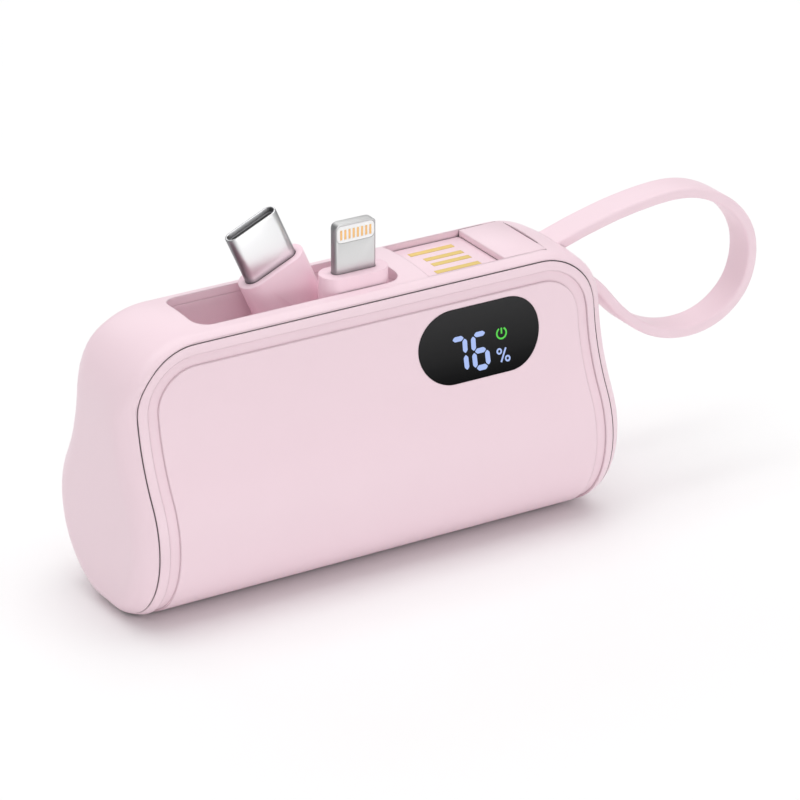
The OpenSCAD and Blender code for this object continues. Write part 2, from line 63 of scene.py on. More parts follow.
back = Vector((math.sin(turn) * math.cos(tilt), -math.cos(turn) * math.cos(tilt), math.sin(tilt)))
right = Vector((math.cos(turn), math.sin(turn), 0))
up = back.cross(right)
side = math.cos(roll) * right + math.sin(roll) * up
upright = math.cos(roll) * up - math.sin(roll) * right
camera = bpy.data.objects.new("studio_camera", bpy.data.cameras.new("studio_camera"))
bpy.context.scene.collection.objects.link(camera)
facing = Matrix((side, upright, back)).transposed().to_4x4()
camera.matrix_world = Matrix.Translation(aim + back * DISTANCE * MM) @ facing
camera.data.lens = LENS
camera.data.clip_start = 0.01
bpy.context.scene.camera = camera
bpy.context.scene.view_settings.view_transform = "Standard"
print("the camera stands", DISTANCE, "mm away, with a lens of", LENS, "mm")

# %% [markdown]
# ## Helpers
# Colours are written as the hex values that a colour picker shows, and one function turns them into the
# linear values that Blender works with. Another adds a shader node with its settings and links. A third
# makes an object from a bmesh and lets it ride on a CAD body.

# %% Helpers for materials
def colour(code):
    """The linear colour, with its alpha, of an sRGB hex value."""
    parts = [int(code[i:i + 2], 16) / 255 for i in (1, 3, 5)]
    return [c / 12.92 if c <= 0.04045 else ((c + 0.055) / 1.055) ** 2.4 for c in parts] + [1]


def add(tree, kind, links=None, **settings):
    """A new node. A setting is one of its properties, or else a socket, with _ for each space in its name."""
    node = tree.nodes.new(kind)
    for key, value in settings.items():
        if hasattr(node, key):
            setattr(node, key, value)
        else:
            node.inputs[key.replace("_", " ")].default_value = value
    for socket, source in (links or {}).items():
        tree.links.new(source, node.inputs[socket])
    return node


def blank(name, **values):
    """A new material, its node tree and its Principled shader, with plain values set on the shader."""
    material = bpy.data.materials.new(name)
    material.use_nodes = True
    shader = material.node_tree.nodes["Principled BSDF"]
    for key, value in values.items():
        shader.inputs[key.replace("_", " ")].default_value = value
    return material, material.node_tree, shader


print("pure pink is", [round(c, 3) for c in colour("#ff80c0")], "in linear values")

# %% Helper for pieces
def piece(bm, name, body, material, sharp=35):
    """Turns a bmesh in millimetres into a smooth piece that rides on a body. An edge that turns by more than
    sharp degrees stays crisp."""
    bmesh.ops.scale(bm, vec=(MM, MM, MM), verts=bm.verts)
    mesh = bpy.data.meshes.new(name)
    for face in bm.faces:
        face.smooth = True
    bm.to_mesh(mesh)
    bm.free()
    mesh.set_sharp_from_angle(angle=math.radians(sharp))
    obj = bpy.data.objects.new(name, mesh)
    bpy.context.scene.collection.objects.link(obj)
    mesh.materials.append(material)
    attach(obj, body)
    print(name, "has", len(mesh.polygons), "faces")
    return obj


# %% [markdown]
# ## Pale pink plastic
# The casing is moulded ABS with a fine satin finish from the mould, and a slight gloss that shows soft,
# wide highlights. A Principled shader with a plastic's IOR gives that. Real mouldings are never quite even,
# so the colour and the roughness wander a little over the surface, and a very fine grain breaks up the
# highlight. Moulded edges are never knife sharp either: a Bevel node rounds their shading.
#
# The gaps between the mouldings hold shade. They are too fine for the lights alone to draw it well, so the
# shade is painted: an Ambient Occlusion node turns the colour to a darker tone where surfaces come close
# together.

# %% Parts of a finish
def mottled(tree, place, base, scale, detail, dim):
    """A soft noise, and a colour that wanders with it from the base to the base dimmed."""
    cloud = add(tree, "ShaderNodeTexNoise", {"Vector": place}, Scale=scale, Detail=detail).outputs["Fac"]
    dimmed = [c * dim for c in colour(base)[:3]] + [1]
    tone = add(tree, "ShaderNodeMix", {"Factor": cloud}, data_type="RGBA", A=colour(base), B=dimmed)
    return cloud, tone.outputs["Result"]


def uneven(tree, shader, noise, roughness, spread):
    """Lets the shader's roughness wander with a noise."""
    gloss = add(tree, "ShaderNodeMapRange", {"Value": noise}, To_Min=roughness - spread,
                To_Max=roughness + spread)
    tree.links.new(gloss.outputs["Result"], shader.inputs["Roughness"])


def painted_gap_shade(tree, tone, dark, reach, darkest, plain):
    """A colour with painted shade: it turns dark where other surfaces come within reach, in millimetres.
    Darkest and plain are the shares of open space round a point where it is fully dark, and where it is still
    the plain tone."""
    # Painted shade: the Ambient Occlusion node darkens the colour in gaps and corners.
    near = add(tree, "ShaderNodeAmbientOcclusion", samples=8, Distance=reach * MM)
    clear = add(tree, "ShaderNodeMapRange", {"Value": near.outputs["AO"]}, From_Min=darkest, From_Max=plain)
    shaded = add(tree, "ShaderNodeMix", {"Factor": clear.outputs["Result"], "B": tone}, data_type="RGBA",
                 A=colour(dark))
    return shaded.outputs["Result"]


# %% Plastics
PLASTIC_IOR = 1.53
GRAIN_DEPTH = 0.02          # millimetres, deeper than real mould grain, so that it shows
CLOUDS = 60                 # to the metre: the patches of colour are about 17 mm across


def moulded(name, base, roughness, grain, edge, depth=0.06, painted_gap_tone=None):
    """A moulded plastic. Grain is the size of its texture and edge the radius of its corners, in millimetres.
    Depth is how strongly the grain shows, and the last argument the tone of the painted shade in its fine
    gaps."""
    material, tree, shader = blank(name, IOR=PLASTIC_IOR)
    place = add(tree, "ShaderNodeTexCoord").outputs["Object"]
    cloud, tone = mottled(tree, place, base, scale=CLOUDS, detail=2, dim=0.975)
    # Painted shade in the fine gaps between mouldings.
    if painted_gap_tone:
        tone = painted_gap_shade(tree, tone, painted_gap_tone, reach=0.7, darkest=0.15, plain=0.6)
    tree.links.new(tone, shader.inputs["Base Color"])
    uneven(tree, shader, cloud, roughness, 0.03)
    fine = add(tree, "ShaderNodeTexNoise", {"Vector": place}, Scale=1000 / grain, Detail=1)
    rounded = add(tree, "ShaderNodeBevel", samples=4, Radius=edge * MM)
    bump = add(tree, "ShaderNodeBump", {"Height": fine.outputs["Fac"], "Normal": rounded.outputs["Normal"]},
               Strength=depth, Distance=GRAIN_DEPTH * MM)
    tree.links.new(bump.outputs["Normal"], shader.inputs["Normal"])
    print(name, "has", len(tree.nodes), "nodes")
    return material


# The dark tones given to the two plastics below are painted shade for their seams and gaps.
casing_plastic = moulded("satin_moulded_abs", "#f5dbe4", 0.36, 0.25, 0.3, painted_gap_tone="#5a464e")
plug_plastic = moulded("plug_moulded_abs", "#fedde9", 0.4, 0.25, 0.15, painted_gap_tone="#8d6a75")
strap_jacket = moulded("soft_cable_jacket", "#f5dbe4", 0.42, 0.3, 0.1)

# %% [markdown]
# ## Strap
# The strap is a flat cable with a soft jacket, 5 by 1.6 mm, and it holds its own loop because it is short.
# It could be a curve with a bevel shape, but a flat section can twist along a curve, so here one section is
# carried along the route: each step extrudes it, moves it and turns it to the route's direction.
#
# The route's points are the CAD cable's own, from the casing's upper corner, along and up. It starts inside
# the tunnel under the plug's grip, goes round the loop and ends in its anchor in the end wall.

# %% Strap route
HALF, TOP = 39.0, 41.7437
turns = [(-9.6, -3.2), (-8, -3.2), (-6.8, -2.9), (-3.9, -2.1), (-1, -1.2), (1.9, -0.5), (4.8, 0.2),
         (7.8, 0.7), (10.8, 1.1), (13.8, 1.3), (16.7, 1.2), (19.7, 0.5), (22.4, -0.8), (24.9, -2.5),
         (26.9, -4.7), (28.3, -7.3), (28.8, -10.2), (28.5, -13.2), (27.4, -16), (25.4, -18.2),
         (22.9, -19.8), (20, -20.6), (17, -20.7), (14, -20.2), (11.2, -19.1), (8.7, -17.5), (6.4, -15.5),
         (4.4, -13.3), (2.6, -11), (0.9, -9.3), (-0.9, -8.1), (-2.7, -7.2)]


def smooth_route(points, steps, passes):
    """A smooth curve through the route's points, evened out in a few passes so that its bend has no kinks."""
    route = [Vector((HALF + x, 0, TOP + z)) for x, z in points]
    out = []
    for i in range(len(route) - 1):
        a, b = route[max(i - 1, 0)], route[i]
        c, d = route[i + 1], route[min(i + 2, len(route) - 1)]
        for k in range(steps):
            u = k / steps
            out.append(0.5 * (2 * b + (c - a) * u + (2 * a - 5 * b + 4 * c - d) * u ** 2
                              + (3 * b - a - 3 * c + d) * u ** 3))
    out.append(route[-1])
    for _ in range(passes):
        out[1:-1] = [(a + 2 * b + c) / 4 for a, b, c in zip(out, out[1:], out[2:])]
    return out


strap_line = smooth_route(turns, 6, 12)

# %% Strap
STRAP_WIDTH, STRAP_THICK, STRAP_EDGE = 5.0, 1.6, 0.4


def swept(line, width, thick, corner, steps=4):
    """A flat section with rounded edges, carried along a line in the XZ plane."""
    bm = bmesh.new()
    bmesh.ops.create_grid(bm, x_segments=1, y_segments=1, size=0.5)
    bmesh.ops.scale(bm, vec=(thick, width, 1), verts=bm.verts)
    bmesh.ops.bevel(bm, geom=bm.verts[:], offset=corner, segments=steps, profile=0.5, affect="VERTICES",
                    material=-1)
    heading = Vector((0, 0, 1))
    at = Vector((0, 0, 0))
    section = bm.faces[:]
    for i, point in enumerate(line):
        ahead = (line[min(i + 1, len(line) - 1)] - line[max(i - 1, 0)]).normalized()
        if i:
            grown = bmesh.ops.extrude_face_region(bm, geom=section)["geom"]
            if i > 1:
                bmesh.ops.delete(bm, geom=section, context="FACES")
            section = [g for g in grown if isinstance(g, bmesh.types.BMFace)]
        ring = list({v for f in section for v in f.verts})
        swing = math.atan2(ahead.x, ahead.z) - math.atan2(heading.x, heading.z)
        bmesh.ops.rotate(bm, cent=at, matrix=Matrix.Rotation(swing, 3, "Y"), verts=ring)
        bmesh.ops.translate(bm, vec=point - at, verts=ring)
        heading, at = ahead, point
    bmesh.ops.recalc_face_normals(bm, faces=bm.faces)
    return bm


band = swept(strap_line, STRAP_WIDTH, STRAP_THICK, STRAP_EDGE)
strap = piece(band, "strap_band", "casing", strap_jacket, sharp=60)
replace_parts(strap, "strap_cable")

# %% [markdown]
# ## Casing form
# The casing's cross-section is five tangent arcs: a flat-bottomed round body, a hollow waist, an upright
# neck, a rounded shoulder and a slightly crowned deck. A vertex spun about each centre in turn draws one
# half, and a mirror gives the other. Towards each end the deck curves down and then the whole section
# shrinks, so rings drawn at closer and closer places, and bridged together, make the rounded ends.

# %% Casing sizes
BODY_R, BODY_Z = 13.75, 13.4                        # the round body: its radius and the height of its centre
WAIST_R, WAIST_Y, WAIST_Z = 28.0, 36.0, 34.5437     # the hollow waist: its radius and its centre
NECK = 8.0                                          # half the neck's width
CROWN_R, SHOULDER = 45.0, 2.2                       # the deck's crown and the shoulder beside it
END_R, CORNER_R = 4.4, 11.5                         # the rounding of the ends and of the top corners
BODY_STEPS, WAIST_STEPS, SHOULDER_STEPS, CROWN_STEPS = 34, 12, 8, 4


def arc_from(bm, last, cy, cz, degrees, steps):
    """Carries the last vertex round a centre and returns the new last vertex."""
    made = bmesh.ops.spin(bm, geom=[last], cent=(last.co.x, cy, cz), axis=(1, 0, 0), dvec=(0, 0, 0),
                          angle=math.radians(degrees), steps=steps, use_duplicate=False)
    return next(g for g in made["geom_last"] if isinstance(g, bmesh.types.BMVert))


print("the waist's centre is", WAIST_Y - NECK, "mm outside the neck, with a radius of", WAIST_R, "mm")

# %% One ring of the casing
def ring(bm, x, inset, top, r):
    """One closed section at x, drawn smaller by inset, with its crown at top and a shoulder of radius r."""
    before = set(bm.edges)
    radius = BODY_R - inset
    foot = math.sqrt(radius ** 2 - (BODY_Z - inset) ** 2)
    waist = math.degrees(math.atan2(WAIST_Z - BODY_Z, WAIST_Y))
    side, core = WAIST_R + inset, CROWN_R - inset - r
    crown_z = top - CROWN_R + inset
    low = crown_z + math.sqrt(core ** 2 - (NECK - inset - r) ** 2)
    cy = WAIST_Y - math.sqrt(side ** 2 - max(WAIST_Z - low, 0) ** 2) - r
    cz = crown_z + math.sqrt(core ** 2 - cy ** 2)
    past = math.degrees(math.asin(max(WAIST_Z - cz + 0.3, 0) / side))
    first = bm.verts.new((x, foot, inset))
    round_body = waist + math.degrees(math.atan2(BODY_Z - inset, foot))
    last = arc_from(bm, first, 0, BODY_Z, round_body, BODY_STEPS)
    last = arc_from(bm, last, WAIST_Y, WAIST_Z, past - waist, WAIST_STEPS)
    shoulder = bm.verts.new((x, cy + r, cz))
    bm.edges.new((last, shoulder))
    deck = math.degrees(math.atan2(cz - crown_z, cy))
    last = arc_from(bm, shoulder, cy, cz, deck, SHOULDER_STEPS)
    arc_from(bm, last, 0, crown_z, 90 - deck, CROWN_STEPS)
    half = [e for e in bm.edges if e not in before]
    verts = list({v for e in half for v in e.verts})
    bmesh.ops.mirror(bm, geom=verts + half, matrix=Matrix.Identity(4), axis="Y", merge_dist=0.001)
    here = [v for v in bm.verts if v.is_valid and abs(v.co.x - x) < 1e-6]
    bmesh.ops.remove_doubles(bm, verts=here, dist=0.002)
    mine = [e for e in bm.edges if e not in before]
    feet = sorted((v for e in mine for v in e.verts if len(v.link_edges) == 1), key=lambda v: v.co.y)
    mine.append(bm.edges.new((feet[0], feet[-1])))
    return mine


# %% The whole casing form
def casing_form(inset, bend_steps=8, end_steps=9):
    """The casing as a closed form, drawn smaller by inset."""
    corner_x, end_x = HALF - CORNER_R, HALF - END_R
    corner_r, end_r = CORNER_R - inset, END_R - inset
    bend = math.asin((end_x - corner_x) / corner_r)
    rims = [(corner_x + corner_r * math.sin(bend * k / bend_steps), inset) for k in range(bend_steps)]
    for k in range(end_steps + 1):
        a = math.radians(90 * k / end_steps)
        rims.append((end_x + end_r * math.sin(a), END_R - end_r * math.cos(a)))
    bm = bmesh.new()
    rings = []
    for x, shrink in [(-x, t) for x, t in reversed(rims)] + rims:
        along = abs(x) - corner_x
        top = TOP - CORNER_R + math.sqrt(max(corner_r ** 2 - along ** 2, 0))
        r = min(max(SHOULDER - inset, 0.05) + 0.3 * (shrink - inset), NECK - shrink - 0.1)
        rings.append(ring(bm, x, shrink, top, r))
    for a, b in zip(rings, rings[1:]):
        bmesh.ops.bridge_loops(bm, edges=a + b)
    for edges in (rings[0], rings[-1]):
        bmesh.ops.contextual_create(bm, geom=edges)
    bmesh.ops.recalc_face_normals(bm, faces=bm.faces)
    return bm


test = casing_form(0)
open_edges = sum(not e.is_manifold for e in test.edges)
print("the casing form has", len(test.faces), "faces and", open_edges, "open edges")
test.free()

# %% [markdown]
# ## Cutting solids
# The covers, the frame and the window all come from that one form, cut with plain blocks, so they share one
# surface. A Boolean modifier can do that. Its exact solver keeps each edge crisp, and its result is taken
# as a mesh straight away, so that no modifier stays on a piece.

# %% Helpers for solids
def lone(bm):
    """A helper object for a boolean, outside the scene's pieces until it is removed."""
    bmesh.ops.recalc_face_normals(bm, faces=bm.faces)
    mesh = bpy.data.meshes.new("cutter")
    bm.to_mesh(mesh)
    bm.free()
    obj = bpy.data.objects.new("cutter", mesh)
    bpy.context.scene.collection.objects.link(obj)
    return obj


def combine(target, tool, how, keep_tool=False):
    """Applies a boolean to the target's mesh."""
    modifier = target.modifiers.new("boolean", "BOOLEAN")
    modifier.operation = how
    modifier.solver = "EXACT"
    modifier.object = tool
    bpy.context.view_layer.update()
    seen = target.evaluated_get(bpy.context.evaluated_depsgraph_get())
    result = bpy.data.meshes.new_from_object(seen)
    target.modifiers.clear()
    target.data = result
    if not keep_tool:
        bpy.data.objects.remove(tool)
    return target


def taken(obj):
    """The mesh of a finished boolean, as a bmesh with its doubles merged."""
    bm = bmesh.new()
    bm.from_mesh(obj.data)
    bpy.data.objects.remove(obj)
    bmesh.ops.remove_doubles(bm, verts=bm.verts, dist=0.001)
    return bm


def block(x0, x1, y0, y1, z0, z1):
    """A plain block between two corners."""
    bm = bmesh.new()
    bmesh.ops.create_cube(bm, size=1)
    bmesh.ops.scale(bm, vec=(x1 - x0, y1 - y0, z1 - z0), verts=bm.verts)
    bmesh.ops.translate(bm, vec=((x0 + x1) / 2, (y0 + y1) / 2, (z0 + z1) / 2), verts=bm.verts)
    return bm


# %% [markdown]
# ## Covers
# Each cover is a thin shell that lies in the frame with a fine seam round it. It has a raised border, and
# inside that a shallow groove. It could be modelled face by face, but its seam and groove have to follow
# the casing's double curve. So it is the casing form cut to the cover's outline and hollowed, and the
# groove is a band between two smaller outlines, sunk 0.3 mm. The back cover is the front one's mirror
# image, with no window.

# %% Cover sizes
COVER_END, COVER_TOP, COVER_CORNER = 2.5, 1.5, 9    # from the casing's ends and top, and its corners' radius
SEAM = 0.075                                        # half the gap between a cover and the frame
WALL = 1.6
GROOVE_OUTER, GROOVE_INNER, GROOVE_DEEP = 1.4, 3.0, 0.3
REACH = 40                                          # how far forward a cutter goes, well past the casing
ROUGH = (3, 4)                                      # fewer rings, enough for an inner wall that nobody sees
WINDOW_X, WINDOW_Z = HALF - 22.0, TOP - 10.7
WINDOW_LONG, WINDOW_HIGH, WINDOW_GAP, WINDOW_THICK = 19.8, 10.7, 0.1, 1.2


def cover_outline(inset, y0, y1, floor=-5):
    """A block with two rounded top corners, the shape of a cover's outline drawn smaller by inset."""
    x, top = HALF - COVER_END - inset, TOP - COVER_TOP - inset
    bm = block(-x, x, y0, y1, floor, top)
    corners = [e for e in bm.edges if all(abs(v.co.z - top) < 1e-4 for v in e.verts)
               and abs(e.verts[0].co.x - e.verts[1].co.x) < 1e-4]
    bmesh.ops.bevel(bm, geom=corners, offset=COVER_CORNER - inset, segments=20, profile=0.5,
                    affect="EDGES", material=-1)
    return bm


def stadium(length, width, y0, y1):
    """A block with round ends, the shape of the window."""
    bm = block(WINDOW_X - length / 2, WINDOW_X + length / 2, y0, y1,
               WINDOW_Z - width / 2, WINDOW_Z + width / 2)
    ends = [e for e in bm.edges if abs(e.verts[0].co.y - e.verts[1].co.y) > 1]
    bmesh.ops.bevel(bm, geom=ends, offset=width / 2 - 0.001, segments=24, profile=0.5, affect="EDGES",
                    material=-1)
    bmesh.ops.remove_doubles(bm, verts=bm.verts, dist=0.01)
    return bm


print("a cover is", 2 * (HALF - COVER_END - SEAM), "mm long and", TOP - COVER_TOP - SEAM, "mm high")

# %% Cutting a cover
def groove_cutter():
    """What the groove takes from a front cover."""
    outer = lone(cover_outline(GROOVE_OUTER, -REACH, 0))
    band = combine(outer, lone(cover_outline(GROOVE_INNER, -REACH - 1, 1, -6)), "DIFFERENCE")
    return combine(band, lone(casing_form(GROOVE_DEEP)), "DIFFERENCE")


def hollowed(shell):
    """Takes the room inside a front cover away, and what would reach into the neck behind it."""
    combine(shell, lone(casing_form(WALL, *ROUGH)), "DIFFERENCE")
    return combine(shell, lone(block(-60, 60, WALL - NECK, 10, WAIST_Z, 60)), "DIFFERENCE")


def plain_cover():
    """A hollow cover with its groove and no window, on the front."""
    shell = combine(lone(casing_form(0)), lone(cover_outline(SEAM, -REACH, -SEAM)), "INTERSECT")
    return combine(hollowed(shell), groove_cutter(), "DIFFERENCE")


# %% Covers
shell = plain_cover()
back = bmesh.new()
back.from_mesh(shell.data)
bmesh.ops.scale(back, vec=(1, -1, 1), verts=back.verts)
bmesh.ops.reverse_faces(back, faces=back.faces)
bmesh.ops.remove_doubles(back, verts=back.verts, dist=0.001)
back_shell = piece(back, "back_shell", "casing", casing_plastic, sharp=25)
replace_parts(back_shell, "back_cover")
combine(shell, lone(stadium(WINDOW_LONG, WINDOW_HIGH, -REACH, 0)), "DIFFERENCE")
front_shell = piece(taken(shell), "front_shell", "casing", casing_plastic, sharp=25)
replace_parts(front_shell, "front_cover")

# %% [markdown]
# ## Frame
# The frame carries the deck, both ends, the base and the pocket for the flat plug. Its holes and walls are
# right in the CAD model, but its rounded ends are drawn there with few facets. So a copy has its outer skin
# pushed out by half a millimetre, and is then cut back with the smooth casing form. That gives a smooth
# skin with the CAD holes. A point at a hole's edge only slides along the hole's walls, so that these stay
# flat. Last, the seat of each cover is cut again from its fine outline, which rounds the seam's corners.

# %% Skin of the frame
NEAR_SKIN, PUSH = 0.3, 0.5


def outwards(vert, normal, skin):
    """The way a point of the skin may be pushed, so that the walls that meet there keep their planes."""
    way, seen = normal.copy(), []
    for face in vert.link_faces:
        if face.calc_area() > 1e-3 and any(v not in skin for v in face.verts):
            across = face.normal - sum((face.normal.dot(s) * s for s in seen), Vector())
            if across.length > 0.1:
                seen.append(across.normalized())
                way -= way.dot(seen[-1]) * seen[-1]
    return way


def smooth_skinned(node):
    """A CAD node as a helper object, with the smooth casing form for its outer skin."""
    bm = bmesh.new()
    bm.from_mesh(nodes[node].data)
    bmesh.ops.scale(bm, vec=(1000, 1000, 1000), verts=bm.verts)
    bmesh.ops.remove_doubles(bm, verts=bm.verts, dist=0.002)
    bm.normal_update()
    form = casing_form(0)
    nearest = BVHTree.FromBMesh(form).find_nearest
    skin = {}
    for vert in bm.verts:
        _, normal, _, gap = nearest(vert.co)
        if gap < NEAR_SKIN:
            skin[vert] = normal
    ways = {vert: outwards(vert, normal, skin) for vert, normal in skin.items()}
    for vert, way in ways.items():
        if way.length > 0.3:
            vert.co += PUSH * way / way.length_squared
    print(len(skin), "of", len(bm.verts), "points are on the skin of", node)
    return combine(lone(bm), lone(form), "INTERSECT")


# %% Frame
body = smooth_skinned("mid_frame")
seat = hollowed(lone(cover_outline(-SEAM, -REACH, 0)))
combine(body, seat, "DIFFERENCE", keep_tool=True)
seat.data.transform(Matrix.Scale(-1, 4, (0, 1, 0)))
seat.data.flip_normals()
combine(body, seat, "DIFFERENCE")
frame_shell = piece(taken(body), "frame_shell", "casing", casing_plastic, sharp=25)
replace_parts(frame_shell, "mid_frame")

# %% [markdown]
# ## Mouldings with rounded edges
# The small mouldings have the right shape in the CAD model, but their edges are sharp there, and a CAD mesh
# is loose triangles. Each gets a copy whose triangles are joined and whose flat faces are made whole, so
# that a bevel can round its edges evenly. The plug bay's liner isn't rounded. Its top is raised by a hair
# instead, to meet the frame's rim without a dark line between them.

# %% Refined CAD pieces
def merged(node):
    """A CAD node as a bmesh in millimetres, with its triangles joined and its flat faces made whole."""
    bm = bmesh.new()
    bm.from_mesh(nodes[node].data)
    bmesh.ops.scale(bm, vec=(1000, 1000, 1000), verts=bm.verts)
    bmesh.ops.remove_doubles(bm, verts=bm.verts, dist=0.002)
    bmesh.ops.dissolve_degenerate(bm, edges=bm.edges, dist=0.001)
    bmesh.ops.dissolve_limit(bm, angle_limit=math.radians(0.5), verts=bm.verts, edges=bm.edges)
    return bm


def soften(bm, width, segments=2, sharpest=40):
    """Rounds the edges of a bmesh that turn by more than sharpest degrees."""
    edges = [e for e in bm.edges if e.is_manifold and e.calc_face_angle(0) > math.radians(sharpest)]
    bmesh.ops.bevel(bm, geom=edges, offset=width, offset_type="OFFSET", segments=segments, profile=0.5,
                    affect="EDGES", material=-1, clamp_overlap=True)


def refined(node, name, body, material, edge=0.0, lift=0.0):
    """A merged, smooth copy of a CAD node. Edge is how far its sharp edges are rounded, and lift how far its
    top is raised, in millimetres."""
    bm = merged(node)
    top = max(v.co.z for v in bm.verts)
    bmesh.ops.translate(bm, vec=(0, 0, lift), verts=[v for v in bm.verts if v.co.z > top - 0.01])
    if edge:
        soften(bm, edge)
    made = piece(bm, name, body, material, sharp=30)
    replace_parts(made, node)
    return made


refined("plug_bay", "bay_liner", "casing", casing_plastic, lift=0.05)
refined("strap_anchor", "strap_root", "casing", plug_plastic, edge=0.25)

# %% [markdown]
# ## Metals
# The C plug's shell is drawn stainless steel, tumbled smooth: a metal keeps Blender's default IOR, and its
# colour and roughness do the work. Fine drawing lines run along the shell, and a stretched noise gives
# them. The phone plug's tab is nickel plated and finely blasted, so it is duller. The contacts are gold
# over nickel.
#
# In a bright studio the narrow sides of both plugs face darker parts of the room than their broad faces do,
# and so does the metal just above its housing, which also lies in shade. A pale room gives too little of
# that, so these two metals have it painted in a second, duller tone: a painted darker reflection on the
# sides, found by their normal, and painted shade at the foot, found by an Ambient Occlusion node.

# %% Metals
STREAKS = 3000              # to the metre: the drawing lines are about a third of a millimetre apart
WORN_EDGE = 0.08            # the radius of a metal edge's shading, in millimetres


def metal(name, base, roughness, stretch=(1, 1, 1), painted_shade_tone=None):
    """A metal whose roughness varies in streaks, which stretch squeezes along an axis. The last argument is a
    second, duller tone: a painted darker reflection on the narrow sides, and painted shade where the metal
    goes into its housing."""
    material, tree, shader = blank(name, Metallic=1, Base_Color=colour(base))
    place = add(tree, "ShaderNodeTexCoord").outputs["Object"]
    drawn = add(tree, "ShaderNodeMapping", {"Vector": place}, Scale=stretch)
    lines = add(tree, "ShaderNodeTexNoise", {"Vector": drawn.outputs["Vector"]}, Scale=STREAKS, Detail=2)
    uneven(tree, shader, lines.outputs["Fac"], roughness, 0.05)
    rounded = add(tree, "ShaderNodeBevel", samples=4, Radius=WORN_EDGE * MM)
    tree.links.new(rounded.outputs["Normal"], shader.inputs["Normal"])
    # Painted shade: a darker reflection painted on the narrow sides, found by the normal, and painted shade
    # at the foot, found by Ambient Occlusion.
    if painted_shade_tone:
        facing = add(tree, "ShaderNodeTexCoord").outputs["Normal"]
        turned = add(tree, "ShaderNodeSeparateXYZ", {"Vector": facing})
        narrow = add(tree, "ShaderNodeMath", {"Value": turned.outputs["X"]}, operation="ABSOLUTE")
        spread = add(tree, "ShaderNodeMapRange", {"Value": narrow.outputs["Value"]},
                     interpolation_type="SMOOTHSTEP", From_Min=0.12, From_Max=0.8)
        tone = add(tree, "ShaderNodeMix", {"Factor": spread.outputs["Result"]}, data_type="RGBA",
                   A=colour(base), B=colour(painted_shade_tone))
        shaded = painted_gap_shade(tree, tone.outputs["Result"], painted_shade_tone, reach=1.2, darkest=0.4, plain=0.9)
        tree.links.new(shaded, shader.inputs["Base Color"])
    print(name, "has", len(tree.nodes), "nodes")
    return material


# The second tones of these two metals are painted shade on their sides and at their foot.
shell_steel = metal("drawn_stainless_steel", "#f6f6f7", 0.3, stretch=(1, 1, 0.08), painted_shade_tone="#858588")
tab_nickel = metal("blasted_nickel", "#dadada", 0.42, painted_shade_tone="#98989a")
contact_gold = metal("gold_plating", "#f2d684", 0.38)
pin_steel = metal("plain_steel", "#c4c4c8", 0.3)
pad_gold = metal("orange_gold_plating", "#f6c585", 0.35)

# %% [markdown]
# ## Folding plugs
# Each plug has a moulded housing with a soft lip round its top. The C plug's shell is a hollow tube with a
# dark insert far down in it. The phone plug's tab is solid, with a white insert that carries eight gold
# pads a side. The merged CAD copies get a real rounding on their sharp edges, because these edges catch the
# light.

# %% Folding plugs
dark_insert = moulded("dark_moulded_insert", "#77777a", 0.5, 0.3, 0.05)
white_insert = moulded("white_moulded_insert", "#ffffff", 0.3, 0.3, 0.05)
refined("c_plug_housing", "c_housing", "c_plug", plug_plastic, edge=0.35)
refined("c_plug_shell", "c_shell", "c_plug", shell_steel, edge=0.1)
refined("c_plug_insert", "c_insert", "c_plug", dark_insert)
refined("phone_plug_housing", "phone_housing", "phone_plug", plug_plastic, edge=0.4)
refined("phone_plug_tab", "phone_tab", "phone_plug", tab_nickel, edge=0.25)
refined("phone_plug_insert", "phone_insert", "phone_plug", white_insert)

# %% [markdown]
# ## Flat USB plug
# The strap ends in a thin USB plug that lies in its own pocket in the deck. It is one pink moulding with
# four gold pads, two long and two short. Its edges get only a fine rounding, because the plug is barely 2
# mm thick.

# %% Flat USB plug
refined("usb_plug_grip", "usb_grip", "usb_plug", casing_plastic, edge=0.12)
refined("usb_plug_tongue", "usb_tongue", "usb_plug", casing_plastic, edge=0.12)

# %% [markdown]
# ## Window
# The window is smoked acrylic, nearly black, and follows the hollow of the waist. It could be glass with a
# dark box behind it, but so dark a pane shows nothing of what is behind, so an opaque, glossy near-black
# does. Its upper part leans back and shows more of the bright room, so a painted reflection makes its
# colour slightly lighter towards the top.

# %% Window
ACRYLIC_IOR = 1.49
FADE_FROM, FADE_TO = 25.7, 36.3

smoked, tree, shader = blank("smoked_acrylic", Roughness=0.22, IOR=ACRYLIC_IOR, Specular_IOR_Level=0.12)
place = add(tree, "ShaderNodeTexCoord").outputs["Object"]
height = add(tree, "ShaderNodeSeparateXYZ", {"Vector": place}).outputs["Z"]
# Painted reflection: the colour grows lighter towards the top, where the pane shows more of the bright room.
fade = add(tree, "ShaderNodeMapRange", {"Value": height}, From_Min=FADE_FROM * MM, From_Max=FADE_TO * MM)
shade = add(tree, "ShaderNodeMix", {"Factor": fade.outputs["Result"]}, data_type="RGBA",
            A=colour("#060607"), B=colour("#313132"))
tree.links.new(shade.outputs["Result"], shader.inputs["Base Color"])

outline = stadium(WINDOW_LONG - WINDOW_GAP, WINDOW_HIGH - WINDOW_GAP, -REACH, -3)
pane = combine(lone(casing_form(0)), lone(outline), "INTERSECT")
combine(pane, lone(casing_form(WINDOW_THICK)), "DIFFERENCE")
window_pane = piece(taken(pane), "window_pane", "casing", smoked, sharp=25)
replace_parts(window_pane, "display_window")

# %% [markdown]
# ## Display
# Behind the window the display glows: two seven-bar digits, a percent sign and a small green mark. They
# could be a picture, but drawn as faces they stay sharp from any distance. Each bar is a face of six
# corners with softened tips. The round marks are an edge spun about a centre. All of them are bent on to
# the window's surface, so that they look as if they shine through it.

# %% Lit finish
SHIMMER = 900               # to the metre: the light wavers over about a millimetre


